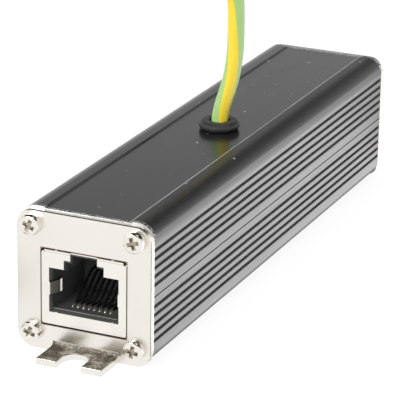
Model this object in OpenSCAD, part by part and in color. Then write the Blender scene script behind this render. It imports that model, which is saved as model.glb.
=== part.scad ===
// Ethernet surge protector in a split extruded case, with an earth lead
// Millimetres, +Z up, front jack faces -Y, origin at the middle of the base

/* [Case] */
// Width and height of the extruded case
case_w = 25; // [24.6:0.1:25.6]
// Outer corner radius of the case and of the end plates
case_r = 3; // [2.5:0.1:3.4]
// Overall length across both end plates
overall_l = 110; // [100:1:130]
// Height of the case above the base of the end plates
case_lift = 0.3; // [0.1:0.05:0.5]
// Thickness of the case walls
wall = 1.6; // [1.5:0.05:1.7]
// Depth of the bare label recess on the wide faces
recess_d = 0.25; // [0.1:0.05:0.35]
// Width of the label recess
recess_w = 16.2; // [14:0.1:17]
// Width and depth of a side groove
groove = 0.6; // [0.4:0.05:0.7]
// Spacing of the side grooves
groove_pitch = 1.535; // [1.4:0.005:1.6]

/* [End plates] */
// Thickness of the plate and its tab
plate_t = 1.2; // [1:0.05:1.4]
// Bevel along the outer edge of a plate
plate_bevel = 0.15; // [0.05:0.01:0.25]
// Width of the bent tab
tab_w = 12.3; // [11:0.1:13.5]
// Reach of the tab in front of the plate
tab_l = 6.4; // [6:0.1:8]
// Inner radius of the tab bend
bend_r = 0.9; // [0.5:0.05:1]
// Width of the open slot in the tab
tab_slot_w = 4.6; // [4:0.1:5]

/* [Screws] */
// Diameter of the screw head
head_d = 3.5; // [3.2:0.1:3.8]
// Height of the screw head
head_h = 1.4; // [1.2:0.05:1.6]
// Length of the screw under its head
screw_l = 8; // [6:0.5:12]

/* [Jacks] */
// Width of the jack shield
shield_w = 15.9; // [15.5:0.05:16]
// Height of the jack shield
shield_h = 13.4; // [13.1:0.05:13.45]
// Depth of the jack shield
shield_l = 18; // [17.5:0.1:19]
// Spacing of the contacts
contact_pitch = 1.016;
// Width of a contact wire
contact_w = 0.35; // [0.25:0.01:0.4]

/* [Earth lead] */
// Outer diameter of the insulation
wire_d = 3.1; // [2.8:0.1:3.4]
// Outer diameter of the grommet flange
grommet_d = 7.5; // [7:0.1:8]
// Diameter of the ring of the terminal
ring_d = 8; // [7.5:0.1:9]
// Hole of the ring of the terminal
ring_hole_d = 4.3; // [4:0.1:5]

/* [Hidden] */
$fn = 48;
eps = 0.01;
fit_gap = 0.05;

mid_z = case_lift + case_w / 2;
case_l = overall_l - 2 * plate_t;
case_y = case_l / 2;
face_y = overall_l / 2;
inner_half = case_w / 2 - wall;
inner_r = 1;

// Screw channels in the corners, clear of the jacks and the board
board_t = 1.6;
board_gap = 0.8;
boss_r = 1.75;
boss_off = (shield_h + board_t + board_gap) / 2 + boss_r;
pilot_d = 1.75;
shank_d = pilot_d - fit_gap;
clear_d = 2.3;

// Seam between the half shells
seam_off = 0.17;
seam_line = 0.12;
seam_line_d = 0.4;
tongue_t = 0.5;
tongue_h = 0.9;
tongue_in = 0.45;
tongue_x = inner_half + tongue_in + tongue_t / 2;
slot_h = tongue_h + 2 * fit_gap;
slot_t = tongue_t + 2 * fit_gap;

// Side grooves above and below the middle
groove_n = 5;
groove_1 = 1.94;
recess_x = -0.25;

// Jacks on the lower channels, the board on the jacks and the rails that hold it
jack_z = mid_z - boss_off + boss_r;
board_z = jack_z + shield_h;
board_side_gap = 0.15;
board_w = 2 * (inner_half - board_side_gap);
board_end_gap = 0.2;
board_l = case_l - 2 * board_end_gap;
rail_h = 0.8;
rail_grip = 0.65;
rail_x = board_w / 2 - rail_grip;

// End plate
plate_w = case_w;
cut_side = 0.1;
cut_under = 0.3;
cut_over = 0.22;
cut_w = shield_w + 2 * cut_side;
cut_h = shield_h + cut_under + cut_over;
cut_r = 0.6;
tab_x = 0.3;
bend_z = bend_r + plate_t;
tab_slot_y = 1.7;

// Screw head
head_round = 0.6;
cross_w = 0.55;
cross_l = 2.3;
cross_d = 0.8;
front_turns = [25, -17, 10, 17];
rear_turns = [40, 5, -28, 62];

// Jack shield
sheet = 0.25;
fold_r = 0.45;
open_side = 1.45;
open_w = shield_w - 2 * open_side;
open_z0 = 2.2;
open_z1 = 10.2;
step_w = 7.45;
step_z = 11.9;
notch_w = 5;
relief = 0.55;
finger_z = 5.3;
finger_h = 2.2;
finger_t = 0.2;
finger_path = [[-0.3, 0.1], [0.1, 0.1], [0.75, 1.5], [1.05, 2.4], [0.85, 3.3]];
leg_w = 1.2;
leg_l = 2.15;
leg_y = [3.5, 8.5];
tail_bay_w = 12.4;

// Jack housing
cavity_side = 0.5;
cavity_w = open_w - 2 * cavity_side;
cavity_l = 12.5;
floor_z = 2.7;
roof_z = 9.85;
latch_w = 6.7;
latch_z = 11.5;
latch_in_w = 4.3;
latch_roof = 0.25;
latch_in_z = shield_h - sheet - latch_roof;
latch_l = 9.5;
lead_in = 0.6;
comb_t = 0.5;
back_t = 0.75;
chamber_y = cavity_l + comb_t;
chamber_l = shield_l - sheet - back_t - chamber_y;
chamber_w = 8.6;
tail_bay_y = chamber_y - 2.5;
chamber_z = 6.05;
comb_w = contact_w + 2 * fit_gap;
finger_bay = 0.8;
finger_bay_l = 3.8;

// Contacts
contact_n = 8;
contact_t = 0.3;
comb_z = 6.75;
channel_y = 2.4;
channel_l = 7;
channel_d = 1.4;
bend_path = [[2.8, 1.45], [2.8, 2.3], [3.1, 2.65], [10.2, comb_z]];
tail_top = board_t + 0.75;
tail_y = [chamber_y + 1.2, chamber_y + chamber_l - 1.1];
tail_hole_d = 0.8;

// Surge parts under the board
tube_d = 5;
tube_l = 6.8;
tube_drop = 0.6;
tube_pitch = 2.6;
tube_lead_d = 0.8;
tube_foot_d = 1.3;
tube_ring_w = 0.8;
tube_waist_d = 4.7;
tube_ys = [-28, -12, 10, 26];
clamp_l = 4.6;
clamp_w = 3.6;
clamp_h = 2.2;
clamp_lift = 0.15;
clamp_foot = 1.2;
clamp_ys = [-20, -6, 4, 18];

// Earth lead entry
entry = [1, -1.5];
grommet_neck_d = 5.6;
grommet_under_d = 6.8;
grommet_under_h = 1;
grommet_round = 0.85;
grommet_h = 2 * grommet_round;
core_d = 1.6;
case_top_z = mid_z + case_w / 2;
recess_z = case_top_z - recess_d;
roof_under_z = case_top_z - wall;
bore_z = recess_z + 0.15;
bore_flare = 0.4;

// Terminal at the end of the lead
barrel_l = 5;
sleeve_wall = 0.5;
sleeve_grip = 3;
sleeve_end = 0.6;
palm_t = 0.8;
palm_w = 2.4;
ring_x = 10.5;

// Route of the earth lead, from the board to the terminal
wire_sides = 8;
wire_steps = 3;
board_top_z = board_z + board_t;
wire_rest_z = wire_d / 2 + sleeve_wall;
route = [
  [entry.x, entry.y, board_top_z],
  [entry.x, entry.y, 23],
  [entry.x, entry.y, bore_z],
  [1.12, -1.45, 27.2],
  [1.46, -1.3, 29.2],
  [1.96, -1.08, 31.2],
  [2.49, -0.85, 33.2],
  [2.94, -0.66, 35.4],
  [3.3, -0.5, 38.2],
  [3.5, -0.4, 42],
  [3.5, -0.9, 50],
  [3, -2.8, 57.2],
  [0.6, -7.4, 63.4],
  [-4.7, -15.2, 67.4],
  [-11.8, -24.6, 68],
  [-18.8, -33.4, 64.8],
  [-24.4, -40.3, 57],
  [-26.3, -43.9, 47.2],
  [-26.9, -45.8, 36.6],
  [-27, -47.2, 26.2],
  [-27, -48.8, 17.2],
  [-27, -51.4, 9.8],
  [-27, -55.6, 4.95],
  [-27, -60.2, 2.65],
  [-27, -63.9, 2.1],
  [-27, -66.8, wire_rest_z],
  [-27, -69.7, wire_rest_z]
];
wire_n = len(route);
wire_end = route[wire_n - 1];
wire_turn = atan2(wire_end.y - route[wire_n - 2].y, wire_end.x - route[wire_n - 2].x);
wire_side = [sin(wire_turn), -cos(wire_turn), 0];

// Extrude an outline drawn in X and Z along Y
module along_y(y0, length) {
  translate([0, y0 + length, 0])
    rotate([90, 0, 0])
      linear_extrude(length)
        children();
}

// Extrude an outline drawn in Y and Z along X
module along_x(x0, length) {
  translate([x0, 0, 0])
    rotate([90, 0, 90])
      linear_extrude(length)
        children();
}

// Rounded rectangle about the origin
module rounded_rect(w, h, r) {
  square([w - 2 * r, h], center = true);
  square([w, h - 2 * r], center = true);
  for (sx = [-1, 1], sy = [-1, 1])
    translate([sx * (w / 2 - r), sy * (h / 2 - r)])
      circle(r = r);
}

// Points beside a path, for strips of bent wire and sheet
function unit(v) = v / norm(v);
function left_of(v) = [-v.y, v.x];
function heading(p, i) = unit(p[i + 1] - p[i]);
function corner(p, i, d) =
  let (a = heading(p, i - 1), b = heading(p, i), n = unit(left_of(a) + left_of(b)))
  p[i] + n * d / (n * left_of(a));
function beside(p, i, d) =
  i == 0 ? p[0] + left_of(heading(p, 0)) * d :
  i == len(p) - 1 ? p[i] + left_of(heading(p, i - 1)) * d :
  corner(p, i, d);

// Outline of a bent strip of one thickness
module strip(p, t) {
  last = len(p) - 1;
  polygon(concat(
    [for (i = [0 : last]) beside(p, i, t / 2)],
    [for (i = [last : -1 : 0]) beside(p, i, -t / 2)]
  ));
}

// Section of one half shell about the middle of the case
module shell_section() {
  half = case_w / 2;
  difference() {
    union() {
      intersection() {
        difference() {
          rounded_rect(case_w, case_w, case_r);
          rounded_rect(2 * inner_half, 2 * inner_half, inner_r);
        }
        union() {
          translate([0, seam_off])
            square([half, half]);
          translate([-half, -seam_off])
            square([half, half + seam_off]);
        }
      }
      intersection() {
        rounded_rect(case_w, case_w, case_r);
        for (m = [0, 1])
          mirror([m, 0])
            translate([boss_off, boss_off]) {
              circle(r = boss_r);
              square(max(boss_r, inner_half - boss_off + eps));
            }
      }
      for (s = [-1, 1])
        shell_rails(s);
      translate([-tongue_x - tongue_t / 2, -seam_off - tongue_h])
        square([tongue_t, tongue_h + eps]);
    }
    translate([tongue_x - slot_t / 2, seam_off - eps])
      square([slot_t, slot_h + eps]);
    translate([half - seam_line_d, seam_off - seam_line / 2])
      square([half, seam_line]);
    translate([seam_line_d - 2 * half, -seam_off - seam_line / 2])
      square([half, seam_line]);
    for (s = [-1, 1])
      translate([s * boss_off, boss_off])
        circle(d = pilot_d);
    for (s = [-1, 1], k = [0 : groove_n - 1])
      translate([s * half, groove_1 + k * groove_pitch])
        square([2 * groove, groove], center = true);
    translate([recess_x - recess_w / 2, half - recess_d])
      square([recess_w, half]);
  }
}

// Rails on one side wall, above and below the edge of the board
module shell_rails(side) {
  low = board_z - mid_z;
  depth = inner_half - rail_x + eps;
  for (z = [low - rail_h, low + board_t + fit_gap])
    translate([side * (rail_x + depth / 2), z + rail_h / 2])
      square([depth, rail_h], center = true);
}

module case_top() {
  color([0.09, 0.09, 0.1])
    difference() {
      along_y(-case_y, case_l)
        translate([0, mid_z])
          shell_section();
      translate([entry.x, entry.y, roof_under_z - wall])
        cylinder(d = grommet_neck_d, h = 3 * wall);
    }
}

module case_bottom() {
  color([0.09, 0.09, 0.1])
    along_y(-case_y, case_l)
      translate([0, mid_z])
        rotate(180)
          shell_section();
}

// Plate with a rounded outline and a bevel round its front edge
module bevelled_blank() {
  half = plate_w / 2;
  flat = plate_w - 2 * case_r;
  c = plate_bevel;
  side = [[c, -half], [plate_t, -half], [plate_t, half], [c, half], [0, half - c], [0, c - half]];
  along_x(-flat / 2, flat)
    polygon(side);
  rotate([0, 90, 0])
    along_x(-flat / 2, flat)
      polygon(side);
  for (sx = [-1, 1], sz = [-1, 1])
    translate([sx * flat / 2, 0, sz * flat / 2])
      rotate([-90, 0, 0]) {
        cylinder(r1 = case_r - c, r2 = case_r, h = c);
        translate([0, 0, c])
          cylinder(r = case_r, h = plate_t - c);
      }
}

// Tab profile in Y and Z: plate foot, bend and flat
module tab_profile() {
  translate([0, bend_z - eps])
    square([plate_t, 2 * eps]);
  intersection() {
    translate([-bend_r, bend_z])
      difference() {
        circle(r = bend_z);
        circle(r = bend_r);
      }
    translate([-bend_r, 0])
      square([bend_z, bend_z]);
  }
  translate([-tab_l, 0])
    square([tab_l - bend_r, plate_t]);
}

// End plate with its front face at Y = 0 and its base at Z = 0
module end_plate() {
  slot_c = tab_slot_y + tab_slot_w / 2;
  difference() {
    translate([0, 0, plate_w / 2])
      bevelled_blank();
    along_y(-eps, plate_t + 2 * eps)
      translate([0, jack_z - cut_under + cut_h / 2])
        rounded_rect(cut_w, cut_h, cut_r);
    for (sx = [-1, 1], sz = [-1, 1])
      translate([sx * boss_off, -eps, mid_z + sz * boss_off])
        rotate([-90, 0, 0])
          cylinder(d = clear_d, h = plate_t + 2 * eps);
    translate([tab_x - tab_w / 2, -eps, -eps])
      cube([tab_w, plate_t + 2 * eps, bend_z + eps]);
  }
  difference() {
    along_x(tab_x - tab_w / 2, tab_w)
      tab_profile();
    translate([tab_x, -slot_c, -eps])
      cylinder(d = tab_slot_w, h = 2 * bend_z);
    translate([tab_x - tab_slot_w / 2, -slot_c - tab_l, -eps])
      cube([tab_slot_w, tab_l, 2 * bend_z]);
  }
}

module front_plate() {
  color([0.85, 0.83, 0.8])
    translate([0, -face_y, 0])
      end_plate();
}

module rear_plate() {
  color([0.85, 0.83, 0.8])
    rotate([0, 0, 180])
      translate([0, -face_y, 0])
        end_plate();
}

// Pan head screw along +Y with the underside of its head at Y = 0
module pan_screw(turn) {
  rotate([-90, 0, 0])
    difference() {
      union() {
        cylinder(d = shank_d, h = screw_l);
        translate([0, 0, head_round - head_h])
          cylinder(d = head_d, h = head_h - head_round);
        translate([0, 0, -head_h])
          cylinder(d = head_d - 2 * head_round, h = head_h);
        translate([0, 0, head_round - head_h])
          rotate_extrude()
            translate([head_d / 2 - head_round, 0])
              circle(r = head_round, $fn = 24);
      }
      for (a = [0, 90])
        rotate([0, 0, a - turn])
          translate([-cross_l / 2, -cross_w / 2, -head_h - eps])
            cube([cross_l, cross_w, cross_d + eps]);
    }
}

// Four screws in the corners of one end
module screw_set(turns) {
  for (i = [0 : 3])
    translate([(i % 2 == 0 ? -1 : 1) * boss_off, -face_y, mid_z + (i < 2 ? 1 : -1) * boss_off])
      pan_screw(turns[i]);
}

module front_screws() {
  color([0.8, 0.78, 0.74])
    screw_set([front_turns[0], front_turns[1], front_turns[3], front_turns[2]]);
}

module rear_screws() {
  color([0.8, 0.78, 0.74])
    rotate([0, 0, 180])
      screw_set(rear_turns);
}

// Opening of the shield in X and Z
module shield_opening() {
  translate([-open_w / 2, open_z0])
    square([open_w, open_z1 - open_z0]);
  translate([-step_w / 2, open_z0])
    square([step_w, step_z - open_z0]);
  translate([-notch_w / 2, open_z0])
    square([notch_w, shield_h]);
}

// Folded shield with its front face at Y = 0 and its base at Z = 0
module jack_shield() {
  half = shield_w / 2;
  difference() {
    along_y(0, shield_l)
      translate([0, shield_h / 2])
        rounded_rect(shield_w, shield_h, fold_r);
    translate([sheet - half, sheet, sheet])
      cube([shield_w - 2 * sheet, shield_l - 2 * sheet, shield_h - 2 * sheet]);
    along_y(-eps, sheet + 2 * eps)
      shield_opening();
    translate([-tail_bay_w / 2, tail_bay_y, shield_h - 2 * sheet])
      cube([tail_bay_w, shield_l - tail_bay_y - sheet, 3 * sheet]);
    for (s = [-1, 1])
      translate([s * half, 0, shield_h])
        cube([2 * relief, 2 * sheet, 2 * relief], center = true);
  }
  for (s = [-1, 1], y = leg_y)
    translate([s * (half - sheet / 2), y, shield_h + (leg_l - fold_r) / 2])
      cube([sheet, leg_w, leg_l + fold_r + 2 * eps], center = true);
  for (m = [0, 1])
    mirror([m, 0, 0])
      translate([-open_w / 2, 0, finger_z])
        linear_extrude(finger_h)
          strip(finger_path, finger_t);
}

// Plastic insert that fills the shield
module jack_housing() {
  in_w = shield_w - 2 * sheet;
  in_h = shield_h - 2 * sheet;
  difference() {
    translate([-in_w / 2, sheet, sheet])
      cube([in_w, shield_l - 2 * sheet, in_h]);
    along_y(0, cavity_l)
      translate([-cavity_w / 2, floor_z])
        square([cavity_w, roof_z - floor_z]);
    along_y(0, latch_l) {
      translate([-latch_w / 2, floor_z])
        square([latch_w, latch_z - floor_z]);
      translate([-latch_in_w / 2, floor_z])
        square([latch_in_w, latch_in_z - floor_z]);
    }
    jack_lead_in();
    translate([-chamber_w / 2, chamber_y, chamber_z])
      cube([chamber_w, chamber_l, shield_h]);
    for (i = [0 : contact_n - 1])
      translate([(i - (contact_n - 1) / 2) * contact_pitch, 0, 0])
        contact_channel();
    for (s = [-1, 1])
      translate([s * (cavity_w / 2), finger_bay_l / 2, finger_z + finger_h / 2])
        cube([2 * finger_bay, finger_bay_l, finger_h + 8 * fit_gap], center = true);
  }
}

// Sloped mouth of the cavity
module jack_lead_in() {
  y0 = sheet - eps;
  y1 = sheet + lead_in;
  over = 0.05;
  along_x(-(cavity_w + open_w) / 4, (cavity_w + open_w) / 2) {
    polygon([[y0, open_z0], [y1, floor_z], [y1, floor_z + over], [y0, floor_z + over]]);
    polygon([[y0, open_z1], [y1, roof_z], [y1, roof_z - over], [y0, roof_z - over]]);
  }
  for (m = [0, 1])
    mirror([m, 0, 0]) {
      mouth_side(open_w, cavity_w, floor_z - 0.2, roof_z + 0.2);
      mouth_side(step_w, latch_w, roof_z, latch_z);
      mouth_side(notch_w, latch_in_w, latch_z, latch_in_z);
    }
}

// One sloped side of the mouth, between two heights
module mouth_side(outer_w, inner_w, z0, z1) {
  translate([0, 0, z0])
    linear_extrude(z1 - z0)
      polygon([
        [outer_w / 2, sheet - eps],
        [inner_w / 2, sheet + lead_in],
        [inner_w / 2 - 0.2, sheet + lead_in],
        [inner_w / 2 - 0.2, sheet - eps]
      ]);
}

// Slot in the floor and slit in the comb for one contact
module contact_channel() {
  translate([-comb_w / 2, channel_y, floor_z - channel_d])
    cube([comb_w, channel_l, channel_d + eps]);
  translate([-comb_w / 2, cavity_l - 1, comb_z - contact_t / 2])
    cube([comb_w, comb_t + 2, contact_t]);
}

// Eight bent contact wires
module jack_contacts() {
  for (i = [0 : contact_n - 1])
    along_x((i - (contact_n - 1) / 2) * contact_pitch - contact_w / 2, contact_w)
      strip(concat(bend_path, [
        [tail_y[i % 2], comb_z],
        [tail_y[i % 2], shield_h + tail_top]
      ]), contact_t);
}

// Place a jack part behind the front or the rear plate
module at_end(turn) {
  rotate([0, 0, turn])
    translate([0, -face_y, jack_z])
      children();
}

module front_jack_shield() {
  color([0.8, 0.8, 0.78])
    at_end(0)
      jack_shield();
}

module front_jack_housing() {
  color([0.07, 0.07, 0.07])
    at_end(0)
      jack_housing();
}

module front_jack_contacts() {
  color([0.85, 0.7, 0.35])
    at_end(0)
      jack_contacts();
}

module rear_jack_shield() {
  color([0.8, 0.8, 0.78])
    at_end(180)
      jack_shield();
}

module rear_jack_housing() {
  color([0.07, 0.07, 0.07])
    at_end(180)
      jack_housing();
}

module rear_jack_contacts() {
  color([0.85, 0.7, 0.35])
    at_end(180)
      jack_contacts();
}

// Holes of the board for one jack
module jack_holes() {
  for (i = [0 : contact_n - 1])
    translate([(i - (contact_n - 1) / 2) * contact_pitch, tail_y[i % 2]])
      circle(d = tail_hole_d, $fn = 24);
  for (s = [-1, 1], y = leg_y)
    translate([s * (shield_w - sheet) / 2, y])
      square([sheet + 4 * fit_gap, leg_w + 4 * fit_gap], center = true);
}

module circuit_board() {
  color([0.05, 0.3, 0.15])
    translate([0, 0, board_z])
      linear_extrude(board_t)
        difference() {
          square([board_w, board_l], center = true);
          for (a = [0, 180])
            rotate(a)
              translate([0, -face_y])
                jack_holes();
          for (y = tube_ys, x = [-tube_pitch, 0, tube_pitch])
            translate([x, y])
              circle(d = tube_lead_d + 2 * fit_gap, $fn = 24);
          translate(entry)
            circle(d = core_d);
        }
}

// Gas discharge tube on three leads, hung from the board
module gas_tube(y) {
  z = board_z - tube_drop - tube_d / 2;
  color([0.75, 0.74, 0.7]) {
    translate([-tube_l / 2, y, z])
      rotate([0, 90, 0])
        cylinder(d = tube_waist_d, h = tube_l);
    for (x = [-tube_pitch, 0, tube_pitch])
      translate([x, y, z]) {
        translate([-tube_ring_w / 2, 0, 0])
          rotate([0, 90, 0])
            cylinder(d = tube_d, h = tube_ring_w);
        cylinder(d = tube_foot_d, h = tube_d / 2 + tube_drop, $fn = 24);
        cylinder(d = tube_lead_d, h = tube_d / 2 + tube_drop + tail_top, $fn = 24);
      }
  }
}

module gas_tube_1() {
  gas_tube(tube_ys[0]);
}

module gas_tube_2() {
  gas_tube(tube_ys[1]);
}

module gas_tube_3() {
  gas_tube(tube_ys[2]);
}

module gas_tube_4() {
  gas_tube(tube_ys[3]);
}

// Clamping diode with two feet soldered flat under the board
module suppressor(y) {
  color([0.12, 0.12, 0.12]) {
    translate([-clamp_l / 2, y - clamp_w / 2, board_z - clamp_lift - clamp_h])
      cube([clamp_l, clamp_w, clamp_h]);
    for (s = [-1, 1])
      translate([s * clamp_l / 2, y, board_z - clamp_h / 4])
        cube([clamp_foot, clamp_w / 2, clamp_h / 2], center = true);
  }
}

module suppressor_1() {
  suppressor(clamp_ys[0]);
}

module suppressor_2() {
  suppressor(clamp_ys[1]);
}

module suppressor_3() {
  suppressor(clamp_ys[2]);
}

module suppressor_4() {
  suppressor(clamp_ys[3]);
}

// Solder that fills the earth hole and domes under the board
module earth_solder() {
  color([0.7, 0.7, 0.7])
    translate([entry.x, entry.y, 0]) {
      translate([0, 0, board_z - eps])
        cylinder(d = core_d, h = board_t + eps);
      translate([0, 0, board_z - core_d / 2])
        cylinder(d1 = core_d / 2, d2 = 2 * core_d, h = core_d / 2);
    }
}

// Rubber grommet clipped in the hole of the upper shell
module cable_grommet() {
  color([0.05, 0.05, 0.05])
    translate([entry.x, entry.y, 0])
      difference() {
        union() {
          translate([0, 0, roof_under_z])
            cylinder(d = grommet_neck_d, h = recess_z - roof_under_z);
          translate([0, 0, roof_under_z - grommet_under_h])
            cylinder(d = grommet_under_d, h = grommet_under_h);
          translate([0, 0, recess_z])
            cylinder(d = grommet_d - 2 * grommet_round, h = grommet_h);
          translate([0, 0, recess_z + grommet_round])
            rotate_extrude()
              translate([grommet_d / 2 - grommet_round, 0])
                circle(r = grommet_round);
        }
        translate([0, 0, roof_under_z - 2 * grommet_under_h])
          cylinder(d = wire_d, h = bore_z - roof_under_z + 2 * grommet_under_h + eps);
        translate([0, 0, bore_z])
          cylinder(
            d1 = wire_d,
            d2 = wire_d + 2 * bore_flare,
            h = recess_z + grommet_h - bore_z + eps
          );
      }
}

// Smooth points through the route
function ease(a, b, c, d, t) = 0.5 * (
  2 * b + (c - a) * t + (2 * a - 5 * b + 4 * c - d) * t * t + (3 * b - a - 3 * c + d) * t * t * t
);
function held(i) = route[max(0, min(wire_n - 1, i))];
wire_line = concat(
  [for (i = [0 : wire_n - 2], k = [0 : wire_steps - 1])
    ease(held(i - 1), held(i), held(i + 1), held(i + 2), k / wire_steps)],
  [wire_end]
);
function tangent(i) = unit(
  wire_line[min(len(wire_line) - 1, i + 1)] - wire_line[max(0, i - 1)]
);
function ring_at(i) =
  let (
    t = i == 0 ? [0, 0, 1] : i == len(wire_line) - 1 ? [cos(wire_turn), sin(wire_turn), 0] : tangent(i),
    u = unit(wire_side - t * (wire_side * t)),
    v = cross(t, u)
  )
  [for (k = [0 : wire_sides - 1])
    wire_line[i] + (u * cos(k * 360 / wire_sides) + v * sin(k * 360 / wire_sides)) * wire_d / 2];

module earth_wire() {
  last = len(wire_line) - 1;
  n = wire_sides;
  points = [for (i = [0 : last]) each ring_at(i)];
  sides = [for (i = [0 : last - 1], k = [0 : n - 1])
    let (a = i * n + k, b = i * n + (k + 1) % n)
    each [[a, b + n, b], [a, a + n, b + n]]];
  color([0.75, 0.8, 0.15])
    polyhedron(points, concat(sides, [[for (k = [0 : n - 1]) k], [for (k = [n - 1 : -1 : 0]) last * n + k]]));
}

// Place a part at the end of the lead, pointing along it
module at_wire_end() {
  translate(wire_end)
    rotate([0, 0, wire_turn])
      children();
}

// Insulating sleeve over the crimp
module terminal_sleeve() {
  color([0.1, 0.1, 0.1])
    at_wire_end()
      translate([-sleeve_grip, 0, 0])
        rotate([0, 90, 0])
          difference() {
            cylinder(d = wire_d + 2 * sleeve_wall, h = sleeve_grip + barrel_l - sleeve_end);
            translate([0, 0, -eps])
              cylinder(d = wire_d, h = sleeve_grip + barrel_l);
          }
}

// Crimped ring terminal
module ring_terminal() {
  color([0.8, 0.78, 0.74])
    at_wire_end() {
      rotate([0, 90, 0])
        cylinder(d = wire_d, h = barrel_l);
      translate([0, 0, -wire_d / 2])
        linear_extrude(palm_t)
          difference() {
            union() {
              translate([barrel_l - sleeve_end, -palm_w / 2])
                square([ring_x - barrel_l, palm_w]);
              translate([ring_x, 0])
                circle(d = ring_d);
            }
            translate([ring_x, 0])
              circle(d = ring_hole_d);
          }
    }
}

case_top();
case_bottom();
front_plate();
rear_plate();
front_screws();
rear_screws();
front_jack_shield();
front_jack_housing();
front_jack_contacts();
rear_jack_shield();
rear_jack_housing();
rear_jack_contacts();
circuit_board();
gas_tube_1();
gas_tube_2();
gas_tube_3();
gas_tube_4();
suppressor_1();
suppressor_2();
suppressor_3();
suppressor_4();
earth_solder();
cable_grommet();
earth_wire();
terminal_sleeve();
ring_terminal();
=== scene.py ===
# %% [markdown]
# # Dressing an Ethernet surge protector
# The part is a square extruded case with a nickel plate and a modular jack at each end. A green
# and yellow earth lead leaves its top through a rubber grommet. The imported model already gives
# every size and place, so this notebook adds only the looks: soft edges, finishes, the lead's
# smooth skin and a plain studio. Objects are in metres, in the model's own frame, and sizes are
# written in millimetres, as a maker would.

# %% The frame
import math

import bmesh
import bpy
from mathutils import Matrix, Vector


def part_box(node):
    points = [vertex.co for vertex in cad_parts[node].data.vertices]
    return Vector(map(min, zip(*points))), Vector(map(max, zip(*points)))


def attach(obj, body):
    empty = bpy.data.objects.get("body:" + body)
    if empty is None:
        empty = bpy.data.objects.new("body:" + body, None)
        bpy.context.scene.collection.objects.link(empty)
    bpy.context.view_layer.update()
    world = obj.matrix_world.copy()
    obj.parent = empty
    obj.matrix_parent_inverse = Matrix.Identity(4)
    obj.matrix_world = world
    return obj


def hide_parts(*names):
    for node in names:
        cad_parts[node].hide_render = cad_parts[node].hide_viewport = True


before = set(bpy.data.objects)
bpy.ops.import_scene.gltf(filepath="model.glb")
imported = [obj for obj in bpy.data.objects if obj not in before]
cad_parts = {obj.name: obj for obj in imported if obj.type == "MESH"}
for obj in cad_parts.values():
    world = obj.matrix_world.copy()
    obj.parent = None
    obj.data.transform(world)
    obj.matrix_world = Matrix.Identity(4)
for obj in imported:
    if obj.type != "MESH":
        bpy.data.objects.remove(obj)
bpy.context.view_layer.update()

MM = 0.001

# %% [markdown]
# ## The camera
# A photograph is matched with a real camera first, because every later choice is judged through
# it. This one is a long lens from half a metre, so the case shows little perspective. The three
# angles turn a level camera to the photograph's view.

# %% The camera
azimuth = math.radians(23.849)
elevation = math.radians(19.919)
roll = math.radians(0.934)
camera_place = Vector((173.26, -399.36, 168.03)) * MM
sensor = 36.0
lens = 223.225


def stand(name, data):
    """A new object of this data, linked to the scene."""
    made = bpy.data.objects.new(name, data)
    bpy.context.scene.collection.objects.link(made)
    return made


back = Vector((
    math.sin(azimuth) * math.cos(elevation),
    -math.cos(azimuth) * math.cos(elevation),
    math.sin(elevation),
))
level_right = Vector((0, 0, 1)).cross(back).normalized()
level_up = back.cross(level_right)
right = level_right * math.cos(roll) + level_up * math.sin(roll)
up = level_up * math.cos(roll) - level_right * math.sin(roll)

camera = stand("camera", bpy.data.cameras.new("camera"))
camera.data.sensor_width = sensor
camera.data.lens = lens
camera.data.clip_start = 0.01
camera.data.clip_end = 50
camera.matrix_world = Matrix.Translation(camera_place) @ Matrix((right, up, back)).transposed().to_4x4()
bpy.context.scene.camera = camera
bpy.context.scene.view_settings.view_transform = "Standard"
print("camera", camera.location, "lens", lens)

# %% [markdown]
# ## Writing shaders as sums
# A finish is mostly arithmetic: a mask times a colour, one minus a mask, a noise plus a constant.
# Wiring that by hand hides the idea, so a small class wraps a socket and turns + - * into Math
# nodes. Colours go through Mix nodes, because a Math node would turn them grey.

# %% Sockets that can be summed
class Signal:
    """One output of a node, ready for arithmetic."""

    def __init__(self, graph, socket):
        self.graph = graph
        self.socket = socket

    def other(self, out):
        """Another output of the same node."""
        return Signal(self.graph, self.socket.node.outputs[out])

    def math(self, operation, *values):
        """A Math node on these values."""
        return self.graph.add("ShaderNodeMath", {"operation": operation}, dict(enumerate(values)))

    def __add__(self, other):
        return self.math("ADD", self, other)

    def __sub__(self, other):
        return self.math("SUBTRACT", self, other)

    def __rsub__(self, other):
        return self.math("SUBTRACT", other, self)

    def __mul__(self, other):
        return self.math("MULTIPLY", self, other)

    __radd__ = __add__
    __rmul__ = __mul__

    def __abs__(self):
        return self.math("ABSOLUTE", self)

    def below(self, limit, soft):
        """1 where the signal is under the limit, fading to 0 over soft."""
        ends = {0: self, 1: limit, 2: limit + soft, 3: 1.0, 4: 0.0}
        return self.graph.add("ShaderNodeMapRange", {"interpolation_type": "SMOOTHSTEP"}, ends)

    def above(self, limit, soft):
        """1 where the signal is over the limit, fading to 0 over soft."""
        return 1.0 - self.below(limit - soft, soft)


print("sockets can be summed")

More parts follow.
